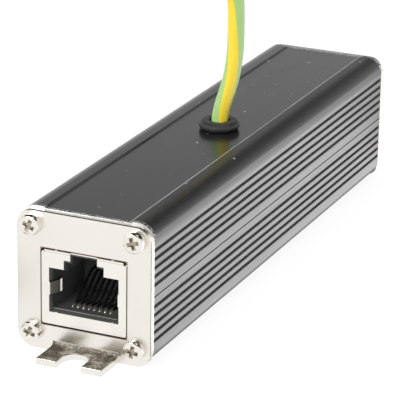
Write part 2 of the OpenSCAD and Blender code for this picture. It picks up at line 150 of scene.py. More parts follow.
# %% Trees of nodes
class Graph:
    """A tree of nodes, of a material, a world or a modifier."""

    def __init__(self, tree):
        self.tree = tree
        tree.nodes.clear()

    def put(self, socket, value):
        """Set a socket, or link it when the value is a signal."""
        if isinstance(value, Signal):
            self.tree.links.new(value.socket, socket)
        elif socket.type == "RGBA":
            socket.default_value = (*value, 1.0)
        else:
            socket.default_value = value

    def add(self, kind, settings, sockets, out=0):
        """Any node: its settings or stops first, then the values or links of its sockets."""
        node = self.tree.nodes.new(kind)
        for name, value in settings.items():
            if name != "stops":
                setattr(node, name, value)
                continue
            elements = node.color_ramp.elements
            while len(elements) < len(value):
                elements.new(0.5)
            for element, (position, colour) in zip(elements, value):
                element.position = position
                element.color = (*colour, 1.0)
        for key, value in sockets.items():
            self.put(node.inputs[key], value)
        return Signal(self, node.outputs[out])

    def blend(self, factor, first, second):
        """A colour between two colours."""
        settings = {"data_type": "RGBA", "clamp_factor": True}
        return self.add("ShaderNodeMix", settings, {0: factor, 6: first, 7: second}, 2)

    def parts(self, vector):
        """The three parts of a vector as signals."""
        first = self.add("ShaderNodeSeparateXYZ", {}, {0: vector})
        return first, first.other(1), first.other(2)


print("nodes can be added")

# %% [markdown]
# ## What every finish needs
# A finish is a material round one Principled shader. It reads the piece's own coordinates, which
# lie in the model's frame, so a mask can say where on the real part something shows: above this
# height, beside that hole. Noise gives the unevenness that no real surface is without.

# %% A finish
class Finish(Graph):
    """A material built round a Principled shader."""

    def __init__(self, name, **constants):
        self.material = bpy.data.materials.new(name)
        self.material.use_nodes = True
        super().__init__(self.material.node_tree)
        self.shader = self.tree.nodes.new("ShaderNodeBsdfPrincipled")
        self.surface = Signal(self, self.shader.outputs[0])
        self.output = self.tree.nodes.new("ShaderNodeOutputMaterial")
        self.put(self.output.inputs[0], self.surface)
        for socket, value in constants.items():
            self.feed(socket.replace("_", " "), value)
        self.place = self.add("ShaderNodeTexCoord", {}, {}, "Object")

    def feed(self, socket, value):
        """Give the Principled shader a constant or a signal."""
        self.put(self.shader.inputs[socket], value)

    def paint(self, tone, *layers):
        """Feed Base Color with a tone and, over it in turn, tones that have a mask each."""
        for mask, over in layers:
            tone = self.blend(mask, tone, over)
        self.feed("Base Color", tone)

    def stretched(self, across, along, upward):
        """Object coordinates times a number on each axis."""
        sockets = {0: self.place, 1: (across, along, upward)}
        return self.add("ShaderNodeVectorMath", {"operation": "MULTIPLY"}, sockets)

    def axes(self):
        """The coordinates across, along and up the case, in millimetres."""
        return self.parts(self.stretched(1 / MM, 1 / MM, 1 / MM))

    def noise(self, scale, detail=2.0, at=None):
        """Cloudy noise from 0 to 1; the scale counts its lumps in a metre."""
        sockets = {"Vector": at or self.place, "Scale": scale, "Detail": detail}
        return self.add("ShaderNodeTexNoise", {}, sockets, "Fac")

    def specks(self, pitch, radius, kept):
        """Small round dots seen from above, one in some cells of a grid of about the pitch."""
        sockets = {"Vector": self.place, "Scale": 1 / (pitch * MM)}
        near = self.add("ShaderNodeTexVoronoi", {"voronoi_dimensions": "2D"}, sockets, "Distance")
        cell = self.add("ShaderNodeSeparateColor", {}, {0: near.other("Color")})
        return near.below(radius / pitch, 0.5 * radius / pitch) * cell.below(kept, 0.001)

    def leaned(self, along):
        """The surface's own normal, leaned along Y by a signal."""
        lean = self.add("ShaderNodeCombineXYZ", {}, {1: along})
        skin = self.add("ShaderNodeNewGeometry", {}, {}, "Normal")
        turned = self.add("ShaderNodeVectorMath", {"operation": "ADD"}, {0: skin, 1: lean})
        return self.add("ShaderNodeVectorMath", {"operation": "NORMALIZE"}, {0: turned})

    def bump(self, height, strength, depth, skin=None):
        """Shallow relief from a height signal, its depth in millimetres."""
        sockets = {"Strength": strength, "Distance": depth * MM, "Height": height}
        if skin:
            sockets["Normal"] = skin
        self.feed("Normal", self.add("ShaderNodeBump", {}, sockets, "Normal"))


print("finishes can be built")

# %% [markdown]
# ## The earth lead
# A lead is one length of something springy, so its route comes before its skin. These are the
# same points as the model's, in millimetres: up out of the grommet with the lean that the
# photograph shows, over in one arch, and down to the table beside the front left corner. A tube
# is then swept along them with its own UV map, u round the skin and v along it, so that a stripe
# can twist.

# %% The lead's route
wire_d = 3.1 * MM
wire_start = 19.9
bore_z = 25.2
wire_rest_z = 2.05
route = [
    (1, -1.5, wire_start), (1, -1.5, 23), (1, -1.5, bore_z), (1.12, -1.45, 27.2),
    (1.46, -1.3, 29.2), (1.96, -1.08, 31.2), (2.49, -0.85, 33.2), (2.94, -0.66, 35.4),
    (3.3, -0.5, 38.2), (3.5, -0.4, 42), (3.5, -0.9, 50), (3, -2.8, 57.2),
    (0.6, -7.4, 63.4), (-4.7, -15.2, 67.4), (-11.8, -24.6, 68), (-18.8, -33.4, 64.8),
    (-24.4, -40.3, 57), (-26.3, -43.9, 47.2), (-26.9, -45.8, 36.6), (-27, -47.2, 26.2),
    (-27, -48.8, 17.2), (-27, -51.4, 9.8), (-27, -55.6, 4.95), (-27, -60.2, 2.65),
    (-27, -63.9, 2.1), (-27, -66.8, wire_rest_z), (-27, -69.7, wire_rest_z),
]


def eased(points, steps):
    """A smooth line through the points, with steps pieces between two of them."""
    last = len(points) - 1
    line = []
    for i in range(last):
        a, b, c, d = (points[max(0, min(last, i + k))] for k in (-1, 0, 1, 2))
        for k in range(steps):
            t = k / steps
            line.append(0.5 * (
                2 * b + (c - a) * t + (2 * a - 5 * b + 4 * c - d) * t**2 + (3 * b - a - 3 * c + d) * t**3
            ))
    return line + [points[-1]]


wire_line = eased([Vector(p) * MM for p in route], steps=8)
wire_length = sum((b - a).length for a, b in zip(wire_line, wire_line[1:]))
print("lead of", round(wire_length, 4), "m in", len(wire_line), "rings")

# %% The lead's skin
def as_mesh(work, name):
    """A finished bmesh as a mesh."""
    made = bpy.data.meshes.new(name)
    work.to_mesh(made)
    work.free()
    return made


def swept_tube(name, line, radius, sides):
    """A closed tube along a line, with u round it and v along it in metres."""
    work = bmesh.new()
    layer = work.loops.layers.uv.new("skin")
    last = len(line) - 1
    turns = [math.tau * k / sides for k in range(sides)]
    side = Vector((1, 0, 0))
    rings, along = [], [0.0]
    for i, centre in enumerate(line):
        heading = (line[min(last, i + 1)] - line[max(0, i - 1)]).normalized()
        side = (side - heading * side.dot(heading)).normalized()
        over = heading.cross(side)
        spokes = [side * math.cos(t) + over * math.sin(t) for t in turns]
        rings.append([work.verts.new(centre + spoke * radius) for spoke in spokes])
        if i:
            along.append(along[-1] + (centre - line[i - 1]).length)
    for i in range(last):
        for k in range(sides):
            j = (k + 1) % sides
            face = work.faces.new((rings[i][k], rings[i][j], rings[i + 1][j], rings[i + 1][k]))
            face.smooth = True
            corners = ((k, i), (k + 1, i), (k + 1, i + 1), (k, i + 1))
            for loop, (u, v) in zip(face.loops, corners):
                loop[layer].uv = (u / sides, along[v])
    work.faces.new(list(reversed(rings[0])))
    work.faces.new(rings[last])
    return as_mesh(work, name)


lead_skin = swept_tube("earth_lead", wire_line, wire_d / 2, sides=24)
print("lead skin", len(lead_skin.polygons), "faces")

# %% [markdown]
# The insulation is soft extruded plastic in two colours: yellow with two green stripes opposite
# each other. The stripes turn slowly round the lead, so the mask is a wave of u plus a share of
# v. A fine noise roughens the wave's edge a little, as the two plastics bleed at the die.

# %% The lead's finish
stripe_count = 2
stripe_twist = 20.0
stripe_start = 0.556


def insulation():
    """Yellow plastic with green stripes that turn slowly round the lead."""
    yellow = (0.76, 0.58, 0.035)
    shaded = (0.7, 0.5, 0.02)
    green = (0.32, 0.51, 0.165)
    finish = Finish("insulation", Specular_IOR_Level=0.45)
    around, length = finish.parts(finish.place.other("UV"))[:2]
    bleed = (finish.noise(900.0) - 0.5) * 0.06
    turn = (around * stripe_count + length * stripe_twist + bleed + stripe_start) * math.tau
    stripe = turn.math("COSINE", turn).above(-0.1, 0.2)
    finish.paint(yellow, (finish.noise(300.0, 3.0) * 0.12, shaded), (stripe, green))
    finish.feed("Roughness", 0.27 + finish.noise(1500.0) * 0.12)
    finish.bump(finish.noise(2500.0), 0.15, 0.02)
    return finish.material


def coat(mesh, finish):
    """Give a mesh one finish."""
    mesh.materials.clear()
    mesh.materials.append(finish)


def show(name, mesh, finish, node):
    """Put a finished mesh in the scene, in place of its node of the model."""
    piece = stand(name, mesh)
    coat(mesh, finish)
    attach(piece, "root")
    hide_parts(node)
    print(name, len(mesh.polygons), "faces")
    return piece


lead = show("earth_lead", lead_skin, insulation(), "earth_wire")

# %% [markdown]
# ## Turning outlines into pieces
# An extrusion is one outline carried along a line, a screw is one turned round an axis, and a
# contact is a line with round bends. One helper rounds corners with arcs. The rest of the work is
# then to name the corners and their radii, which is how a designer would draw them too.

# %% Outline helpers
def rounded(corners, step=math.radians(15)):
    """Points of a closed outline through corners (x, y, radius), with each corner an arc."""
    points = []
    for i, (x, y, radius) in enumerate(corners):
        here = Vector((x, y))
        before = (Vector(corners[i - 1][:2]) - here).normalized()
        after = (Vector(corners[(i + 1) % len(corners)][:2]) - here).normalized()
        turn = math.pi - before.angle(after)
        if radius == 0 or turn < 0.01:
            points.append(here)
            continue
        centre = here + (before + after).normalized() * radius / math.cos(turn / 2)
        arm = here + before * radius * math.tan(turn / 2) - centre
        way = 1 if before.cross(after) < 0 else -1
        count = max(2, math.ceil(turn / step))
        points += [centre + Matrix.Rotation(way * turn * k / count, 2) @ arm for k in range(count + 1)]
    return points


def smooth(mesh, degrees=32):
    """Shade smooth, but keep every edge sharper than this."""
    mesh.polygons.foreach_set("use_smooth", [True] * len(mesh.polygons))
    mesh.set_sharp_from_angle(angle=math.radians(degrees))


def even_normals(piece):
    """Let large flat faces keep their own normals next to small round ones."""
    modifier = piece.modifiers.new("even", "WEIGHTED_NORMAL")
    modifier.keep_sharp = True
    modifier.weight = 100


print("outline helpers ready")

# %% [markdown]
# ## Geometry Nodes, from named inputs
# What repeats is left to Geometry Nodes: one tree says how a thing is set out, and its named
# inputs say how many, how far and of what. A recipe is such a tree, and cook() sets its inputs by
# identifier, evaluates it once and keeps a plain mesh.

# %% Recipes
class Recipe(Graph):
    """A Geometry Nodes tree with named inputs, one of which is its Finish."""

    def __init__(self, name, **inputs):
        super().__init__(bpy.data.node_groups.new(name, "GeometryNodeTree"))
        face = self.tree.interface
        face.new_socket("Geometry", in_out="INPUT", socket_type="NodeSocketGeometry")
        self.names = {
            key: face.new_socket(key, in_out="INPUT", socket_type=f"NodeSocket{kind}").identifier
            for key, kind in (*inputs.items(), ("Finish", "Material"))
        }
        face.new_socket("Geometry", in_out="OUTPUT", socket_type="NodeSocketGeometry")
        self.start = self.tree.nodes.new("NodeGroupInput")
        self.end = self.tree.nodes.new("NodeGroupOutput")

    def given(self, name):
        """One of the tree's inputs."""
        return Signal(self, self.start.outputs[name])

    def thing(self, name):
        """The geometry of an object that is given as an input."""
        return self.add("GeometryNodeObjectInfo", {}, {"Object": self.given(name)}, "Geometry")

    def swept(self, path, outline):
        """A closed solid with this outline, carried along a path."""
        sockets = {"Curve": path, "Profile Curve": outline, "Fill Caps": True}
        return self.add("GeometryNodeCurveToMesh", {}, sockets)

    def serve(self, geometry):
        """End the tree: real geometry with its material."""
        real = self.add("GeometryNodeRealizeInstances", {}, {"Geometry": geometry})
        sockets = {"Geometry": real, "Material": self.given("Finish")}
        self.put(self.end.inputs[0], self.add("GeometryNodeSetMaterial", {}, sockets))


print("recipes can be written")

# %% Cooking a recipe
def settled(piece):
    """The plain mesh that a scratch object shows with its modifiers; the object goes."""
    bpy.context.view_layer.update()
    mesh = bpy.data.meshes.new_from_object(piece.evaluated_get(bpy.context.evaluated_depsgraph_get()))
    piece.modifiers.clear()
    bpy.data.objects.remove(piece)
    return mesh


def cook(name, recipe, base=None, **values):
    """Run a recipe on a base mesh and return the result as a plain mesh."""
    host = stand(name, bpy.data.meshes.new("empty") if base is None else base)
    modifier = host.modifiers.new("recipe", "NODES")
    modifier.node_group = recipe.tree
    for key, value in values.items():
        modifier[recipe.names[key]] = value
    mesh = settled(host)
    mesh.name = name
    return mesh


def drawn(points, closed):
    """An object of points joined in a ring or a line, for a recipe to read."""
    count = len(points)
    joins = [(i, (i + 1) % count) for i in range(count if closed else count - 1)]
    mesh = bpy.data.meshes.new("drawn")
    mesh.from_pydata(points, joins, [])
    return stand("drawn", mesh)


print("geometry helpers ready")

# %% [markdown]
# ## The case halves
# The case is two equal extrusions that lap at the middle of the sides, with a tongue and a slot
# behind the lap. Each side carries five square grooves above the seam and five below. The top has
# a shallow bare recess for a label. The section is drawn once, in millimetres about the middle,
# and turned half round for the lower half. The lips are rounded by a tenth of a millimetre or so,
# which is what lets an edge catch light.

# %% Sizes of the section
case_low, case_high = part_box("case_bottom")[0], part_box("case_top")[1]
half = (case_high.x - case_low.x) / 2 / MM
case_end = case_high.y / MM
mid_z = (case_low.z + case_high.z) / 2 / MM
case_r = 3.0
wall = 1.6
inner_r = 1.0
groove = 0.6
groove_first = 1.94
groove_pitch = 1.535
groove_count = 5
recess_d = 0.25
recess_left = -8.35
recess_right = 7.85
recess_lip = 0.24
recess_foot = 0.03
seam = 0.17
seam_gap = 0.06
seam_depth = 0.4
tongue_x = 11.6
tongue_t = 0.5
tongue_h = 0.9
slot_t = 0.6
slot_h = 1.0
lip = 0.1
print("case of", 2 * half, "mm, with", groove_count, "grooves above the seam")

# %% The section of one half
def side_grooves():
    """Corners of the grooves up the right side, in the order of the outline."""
    corners = []
    for k in range(groove_count):
        low = groove_first + k * groove_pitch - groove / 2
        corners += [
            (half, low, lip),
            (half - groove, low, lip / 2),
            (half - groove, low + groove, lip / 2),
            (half, low + groove, lip),
        ]
    return corners


def half_section():
    """Corners of the upper half shell about the middle of the case, anticlockwise."""
    inner = half - wall
    grooves = side_grooves()
    left_grooves = [(-x, z, radius) for x, z, radius in reversed(grooves)]
    return [
        (inner, seam, 0),
        (tongue_x - slot_t / 2, seam, 0),
        (tongue_x - slot_t / 2, seam + slot_h, 0),
        (tongue_x + slot_t / 2, seam + slot_h, 0),
        (tongue_x + slot_t / 2, seam, 0),
        (half - seam_depth, seam, 0),
        (half - seam_depth, seam + seam_gap, 0),
        (half, seam + seam_gap, lip),
        *grooves,
        (half, half, case_r),
        (recess_right, half, recess_lip),
        (recess_right - lip, half - recess_d, recess_foot),
        (recess_left + lip, half - recess_d, lip),
        (recess_left, half, lip),
        (-half, half, case_r),
        *left_grooves,
        (-half, seam_gap - seam, lip),
        (seam_depth - half, seam_gap - seam, 0),
        (seam_depth - half, -seam, 0),
        (-inner, -seam, 0),
        (-inner, inner, inner_r),
        (inner, inner, inner_r),
    ]


section = rounded(half_section(), math.radians(10))
print("section of", len(section), "points")

# %% [markdown]
# ## Black anodised aluminium
# The dyed oxide on the aluminium behaves as a clear skin over black, so it mirrors little face on
# and a lot at a glancing view. That is why the sides look grey from here and the rounded corner
# black. The die leaves faint lines along the length, and dust sits on the black as pale dots. The
# grooves are painted paler, as painted light over the shade inside them, and a painted highlight
# runs along the right lip of the label recess. The sawn ends are bare metal, and so are a few chips
# beside them.

# %% The case finish
lip_highlight_x = 7.8
lip_highlight_z = 24.8
sunk_x = 11.7
skin_x = 12.43
foot_z = 3.4
shoulder_z = 22.2
deck_z = 23.5


def black_anodised():
    """Dyed aluminium: black, with painted light in the grooves and a painted highlight on the recess lip,
    bare at its sawn ends.
    """
    dyed = (0.008, 0.008, 0.0085)
    streak = (0.02, 0.02, 0.021)
    painted_groove_light = (0.2, 0.2, 0.195)
    dust_and_lip_highlight = (0.75, 0.75, 0.73)
    bare_metal = (0.86, 0.85, 0.83)
    finish = Finish("black_anodised", IOR=1.5)
    die_lines = finish.noise(1.0, 3.0, finish.stretched(9000.0, 30.0, 9000.0))
    bands = finish.noise(1.0, 2.0, finish.stretched(1500.0, 12.0, 1500.0))
    cloud = finish.noise(60.0, 3.0)
    across, along, height = finish.axes()
    sideways = abs(across)
    end = abs(along)
    dots = finish.specks(8.5, 0.16, kept=0.32) + finish.specks(4.2, 0.08, kept=0.16) * 0.6
    dust = dots * height.above(deck_z, 0.5)
    upright = height.above(foot_z, 0.2) * height.below(shoulder_z, 0.2)
    # Painted light: the grooves get a paler tone that lifts the shade falling inside them.
    sunk = sideways.above(sunk_x, 0.1) * sideways.below(skin_x, 0.03) * upright
    outer = sideways.above(skin_x, 0.03)
    flaked = finish.noise(2600.0, 3.0).above(0.53, 0.06)
    chips = flaked * end.above(case_end - 0.5, 0.4) * height.above(deck_z, 1.0)
    # Painted highlight: a thin pale line along the right lip of the label recess.
    gold_wear_and_lip_highlight = abs(across - lip_highlight_x).below(0.05, 0.07) * height.above(lip_highlight_z, 0.2)
    corner = across.above(7.9, 0.3) * height.above(shoulder_z, 0.5)
    bare = end.above(case_end - 0.02, 0.01) + chips * 0.8
    # Real dust and the painted lip highlight share one pale tone.
    pale = dust * 0.8 + gold_wear_and_lip_highlight * (0.25 + cloud * 0.5)
    lines = die_lines * (0.1 + outer * 0.16)
    finish.paint(dyed, (bands, streak), (sunk, painted_groove_light), (pale, dust_and_lip_highlight), (bare, bare_metal))
    finish.feed("Metallic", bare)
    finish.feed("Roughness", 0.17 + lines + cloud * 0.04 + sunk * 0.3 + corner * 0.12 + bare * 0.15)
    finish.bump(die_lines + bands * outer, 0.2 + outer * 0.35, 0.01)
    return finish.material


case_black = black_anodised()
print("case finish made")

# %% [markdown]
# ## Extruding the halves
# A real extrusion is pushed through a die, and a recipe does the same: it carries the outline
# along a line and closes the ends. The grommet's hole is cut while the shell is one plain skin.
# What it holds inside comes after: channels for the screws, rails for the board, and the tongue.

# %% Carrying an outline
def extrusion_recipe():
    """Carry a closed outline along a straight line, with flat ends."""
    recipe = Recipe("extrusion", Outline="Object", From="Vector", To="Vector")
    ends = {"Start": recipe.given("From"), "End": recipe.given("To")}
    path = recipe.add("GeometryNodeCurvePrimitiveLine", {}, ends)
    upright = recipe.add("GeometryNodeSetCurveNormal", {"mode": "Z_UP"}, {"Curve": path})
    ring = recipe.add("GeometryNodeMeshToCurve", {}, {"Mesh": recipe.thing("Outline")})
    recipe.serve(recipe.swept(upright, ring))
    return recipe


print("outlines can be carried")

# %% Bars along the case
def add_bar(work, way, outline, bore=()):
    """Add a closed bar along the case, with a bore when one is given."""
    loops = []
    for points in (outline, bore):
        for y in (-case_end, case_end):
            loops.append([work.verts.new((way * x * MM, y * MM, (mid_z + way * z) * MM)) for x, z in points])
    near, far, near_bore, far_bore = loops
    count = len(near)
    for k in range(count):
        j = (k + 1) % count
        work.faces.new((near[k], near[j], far[j], far[k]))
        if bore:
            work.faces.new((far_bore[k], far_bore[j], near_bore[j], near_bore[k]))
            work.faces.new((near[j], near[k], near_bore[k], near_bore[j]))
            work.faces.new((far[k], far[j], far_bore[j], far_bore[k]))
    if not bore:
        work.faces.new(list(reversed(near)))
        work.faces.new(far)


def box_outline(x0, x1, z0, z1):
    """Corners of an upright oblong."""
    return [(x0, z0), (x1, z0), (x1, z1), (x0, z1)]


print("bars can be added")

# %% The insides of a half
screw_off = 9.65
boss_r = 1.75
pilot_r = 0.875
boss_steps = 32
board_t = 1.6
board_gap = 0.05
overlap = 0.1
rail_h = 0.8
rail_x = 10.1
rail_low = 5.5


def add_insides(work, way):
    """The screw channels in the corners, the rails that grip the board and the tongue of the seam."""
    turns = [math.tau * k / boss_steps for k in range(boss_steps)]
    for side in (-1, 1):
        ring, bore = (
            [(side * screw_off + r * math.cos(t), screw_off + r * math.sin(t)) for t in turns]
            for r in (boss_r, pilot_r)
        )
        add_bar(work, way, ring, bore)
        for low in (rail_low - rail_h, rail_low + board_t + board_gap):
            x0, x1 = sorted((side * rail_x, side * (half - wall + overlap)))
            add_bar(work, way, box_outline(x0, x1, low, low + rail_h))
    tongue = box_outline(-tongue_x - tongue_t / 2, tongue_t / 2 - tongue_x, -seam - tongue_h, overlap - seam)
    add_bar(work, way, tongue)


print("screw channels", screw_off, "mm from the middle, board rails", rail_low, "mm above it")

# %% Cutting and extruding
grommet_at = (1 * MM, -1.5 * MM)
grommet_neck = 5.6 * MM


def cut_away(mesh, tool, crossed=False):
    """The mesh less a cutting shape, which may cross itself."""
    cutter = stand("cutter", as_mesh(tool, "cutter"))
    body = stand("body", mesh)
    cut = body.modifiers.new("cut", "BOOLEAN")
    cut.object = cutter
    cut.operation = "DIFFERENCE"
    cut.solver = "EXACT"
    cut.use_self = crossed
    made = settled(body)
    bpy.data.objects.remove(cutter)
    return made


def drilled(mesh):
    """The upper half with the grommet's round hole through its top."""
    drill = bmesh.new()
    size = {"radius1": grommet_neck / 2, "radius2": grommet_neck / 2, "depth": 4 * wall * MM}
    bmesh.ops.create_cone(drill, cap_ends=True, segments=64, **size)
    bmesh.ops.translate(drill, verts=drill.verts, vec=(*grommet_at, case_high.z))
    return cut_away(mesh, drill)


def case_half(name, way, node):
    """Extrude one half, upright or turned half round, and show it."""
    ring = drawn([(way * x * MM, way * z * MM, 0) for x, z in section], closed=True)
    near, far = ((0, y * MM, mid_z * MM) for y in (-case_end, case_end))
    mesh = cook(name, extrusion_recipe(), Outline=ring, From=near, To=far, Finish=case_black)
    bpy.data.objects.remove(ring)
    work = bmesh.new()
    work.from_mesh(mesh)
    bmesh.ops.remove_doubles(work, verts=work.verts, dist=1e-7)
    bmesh.ops.recalc_face_normals(work, faces=work.faces)
    if way > 0:
        work.to_mesh(mesh)
        work.clear()
        mesh = drilled(mesh)
        work.from_mesh(mesh)
    add_insides(work, way)
    bmesh.ops.recalc_face_normals(work, faces=work.faces)
    mesh = as_mesh(work, name)
    smooth(mesh)
    even_normals(show(name, mesh, case_black, node))


case_half("case_upper", 1, "case_top")
case_half("case_lower", -1, "case_bottom")

# %% [markdown]
# ## Nickel plate
# The end plates, the screws and the jacks' shields are all plated. Nickel is a warm, slightly
# cloudy mirror, so it is metallic with a pale warm base and a low roughness that a fine noise
# makes uneven. Masks then add what only one part shows: the stained, mottled tab of a plate and
# the brown edge round its jack, a screw's cross recess painted darker as painted shade, or on a
# shield the painted shade of its fold and corner notches, a darker rim and a finger painted dark,
# part painted shade and part oxide.

# %% Plain plating
def metal(name):
    """A metal finish, with the cloudy and the fine noise that every plating has."""
    finish = Finish(name, Metallic=1.0)
    return finish, finish.noise(260.0, 4.0), finish.noise(5200.0, 2.0)


def plated(name, tone, rough, uneven, grain, recess=None):
    """Plating of one tone, with a darker tone painted in a screw's recess as painted shade."""
    finish, cloud, fine = metal(name)
    layers = [(cloud * 0.6, tuple(0.9 * channel for channel in tone))]
    clarity = rough + (cloud - 0.5) * uneven + (fine - 0.5) * uneven
    if recess:
        # Painted shade: a screw's cross recess gets a darker brown tone.
        sunk = finish.add("ShaderNodeAttribute", {"attribute_name": "recess"}, {}, "Fac")
        layers.append((sunk, recess))
        clarity = clarity + sunk * 0.3
    finish.paint(tone, *layers)
    finish.feed("Roughness", clarity)
    finish.bump(fine, grain, 0.02)
    return finish.material


painted_recess_shade = (0.42, 0.38, 0.31)
screw_nickel = plated("bright_nickel", (0.87, 0.83, 0.765), 0.1, 0.06, grain=0.12, recess=painted_recess_shade)
tin = plated("plain_tin", (0.89, 0.86, 0.8), 0.22, 0.08, grain=0.2)
print("plain platings made")

# %% The plates' nickel
face_y = 55.0
plate_top = 25.0
tab_top = 2.6
mouth_x = 8.08
mouth_z = 11.56
mouth_h = 7.0


def plate_nickel():
    """Nickel that is clear on the plate, mottled on its tab and brown round the jack."""
    clear = (0.86, 0.83, 0.775)
    clouded = (0.81, 0.78, 0.72)
    stained = (0.5, 0.455, 0.37)
    tarnish = (0.12, 0.105, 0.075)
    freckle = (0.16, 0.14, 0.1)
    glint = (0.95, 0.93, 0.88)
    sheared = (0.42, 0.41, 0.38)
    brown = (0.2, 0.13, 0.07)
    finish, cloud, fine = metal("satin_nickel")
    mottle = finish.noise(3000.0, 4.0)
    patch = finish.noise(480.0, 2.5)
    across, along, height = finish.axes()
    right_way, up_way = finish.parts(finish.add("ShaderNodeNewGeometry", {}, {}, "Normal"))[::2]
    out = abs(along) - face_y
    bend = out.below(1.6, 0.6) * up_way.above(0.4, 0.3)
    flat = bend.math("MAXIMUM", up_way.above(0.96, 0.08), bend)
    tab = out.above(0.02, 0.3) * height.below(tab_top, 0.3) * flat
    web = abs(across - 0.3).below(1.8, 1.5) * out.below(2.5, 0.8)
    edge = up_way.above(0.5, 0.2) * height.above(plate_top, 0.3)
    cut = abs(right_way).above(0.5, 0.2) * abs(across).above(half - 0.1, 0.1)
    mouth = abs(across).below(mouth_x, 0.12) * abs(height - mouth_z).below(mouth_h, 0.12)
    finish.paint(
        clear,
        (cloud * 0.6, clouded),
        (tab * (0.78 - web * 0.25), stained),
        (tab * patch.above(0.56, 0.2) * (0.85 - web * 0.4), tarnish),
        (tab * mottle.above(0.6, 0.2) * 0.6, freckle),
        (tab * mottle.below(0.33, 0.08) * 0.45, glint),
        (cut * 0.85, sheared),
        (mouth * 0.8, brown),
    )
    clarity = 0.17 + cloud * 0.08 + fine * 0.06 + tab * (0.2 + patch * 0.35)
    finish.feed("Roughness", clarity + cut * 0.3 + mouth * 0.3)
    relief = fine * (1.0 - tab) + (mottle * 3.0 + patch * 12.0) * tab
    skin = finish.leaned(edge * -0.05 * along.math("SIGN", along))
    finish.bump(relief, 0.25 + tab * 0.7, 0.03, skin)
    return finish.material


nickel = plate_nickel()
print("plate finish made")

# %% The shields' tin
shield_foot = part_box("front_jack_shield")[0].z / MM
shield_top = shield_foot + 13.4
corner_x = 7.38
rim_x = 7.9
finger_x = (5.1, 6.6)
crest_x = 5.4


def shield_tin():
    """Tinned sheet with painted shade along a fold under its top edge and in its corner notches, a darker
    rim, and its finger painted dark, part painted shade and part oxide.
    """
    bright = (0.9, 0.87, 0.81)
    clouded = (0.83, 0.8, 0.74)
    painted_fold_shade_and_dark_rim = (0.4, 0.35, 0.27)
    lip_highlight_and_finger_shade = (0.17, 0.155, 0.12)
    painted_notch_shade = (0.05, 0.045, 0.035)
    finish, cloud, fine = metal("bright_tin")
    across, along, height = finish.axes()
    side = abs(across)
    front = (abs(along) - face_y).above(-0.07, 0.02)
    # Painted shade: a faint dark line where the sheet folds under its top edge; the rim is painted darker
    # too.
    fold = abs(height - (shield_top - 0.4)).below(0.03, 0.07) * front
    # Painted shade: the relief notches at the top corners are painted near black.
    corner = side.above(corner_x, 0.04) * height.above(shield_top - 0.46, 0.04)
    rim = side.above(rim_x, 0.06) + height.above(shield_top - 0.05, 0.05)
    # The finger is painted dark, part painted shade where it lies in the mouth and part oxide; its crest
    # keeps the bright tone.
    finger = side.below(finger_x[1], 0.05) * side.above(finger_x[0], 0.05) * (1.0 - front)
    crest = finger * side.below(crest_x, 0.08)
    finish.paint(
        bright,
        (cloud * 0.6, clouded),
        (fold * 0.4 + rim * 0.8, painted_fold_shade_and_dark_rim),
        ((finger - crest) * 0.85, lip_highlight_and_finger_shade),
        (corner, painted_notch_shade),
    )
    finish.feed("Roughness", 0.18 + cloud * 0.08 + fine * 0.06 + finger * 0.25 + corner * 0.4)
    finish.feed("Normal", finish.leaned(along.math("SIGN", along) * (finger * 0.05 + crest * 1.7)))
    return finish.material


shield_metal = shield_tin()
print("shield finish made")

# %% [markdown]
# ## Softening the model's own pieces
# The plates, shields and small parts are already right in the model, but their mesh is loose
# triangles with knife edges. A copy is merged, its flat faces joined, its sharp edges rounded by
# a Bevel modifier and its normals evened, and the copy then stands for the node. A weight on each
# edge says how much of the radius it gets, so a plate is soft on its tab and crisp at its holes.

# %% Softened copies
sharp_edge = math.radians(50)


def merged(node):
    """A copy of a node's mesh with shared corners and whole flat faces."""
    work = bmesh.new()
    work.from_mesh(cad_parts[node].data)
    bmesh.ops.remove_doubles(work, verts=work.verts, dist=2e-6)
    bmesh.ops.dissolve_limit(work, angle_limit=math.radians(0.4), verts=work.verts, edges=work.edges)
    return as_mesh(work, node)


def weigh_edges(mesh, weight):
    """Give each sharp edge the share of the bevel that weight says for its middle."""
    shares = mesh.attributes.new("bevel_weight_edge", "FLOAT", "EDGE").data
    work = bmesh.new()
    work.from_mesh(mesh)
    for edge in work.edges:
        turned = len(edge.link_faces) == 2 and edge.calc_face_angle() > sharp_edge
        shares[edge.index].value = weight((edge.verts[0].co + edge.verts[1].co) / 2) if turned else 0.0
    work.free()


def softened(node, name, finish, radius, weight=lambda middle: 1.0, clamp=True):
    """Show a node as a copy with rounded edges."""
    mesh = merged(node)
    smooth(mesh)
    if radius:
        weigh_edges(mesh, weight)
    piece = show(name, mesh, finish, node)
    if radius:
        bevel = piece.modifiers.new("edges", "BEVEL")
        bevel.width = radius * MM
        bevel.segments = 2
        bevel.limit_method = "WEIGHT"
        bevel.use_clamp_overlap = clamp
    even_normals(piece)
    return piece


def tab_weight(middle):
    """Full on the tab's own edges, small on a plate's outer edge and none round its holes."""
    if abs(middle.y) > (face_y + 0.1) * MM:
        return 1.0
    outer = max(abs(middle.x), abs(middle.z - mid_z * MM)) > (half - 0.5) * MM
    return 0.25 if outer else 0.0


for side in ("front", "rear"):
    softened(f"{side}_plate", f"{side}_end_plate", nickel, 0.2, weight=tab_weight, clamp=False)
    softened(f"{side}_jack_shield", f"{side}_shield", shield_metal, 0.05)

# %% [markdown]
# ## The screws
# Eight small pan head screws hold the plates. Their heads are turned, so one is spun round its
# axis and its cross recess is cut with two tapered wedges. A recipe then sets one on each corner
# and turns it by that corner's own angle, because no two screws stop at the same place.

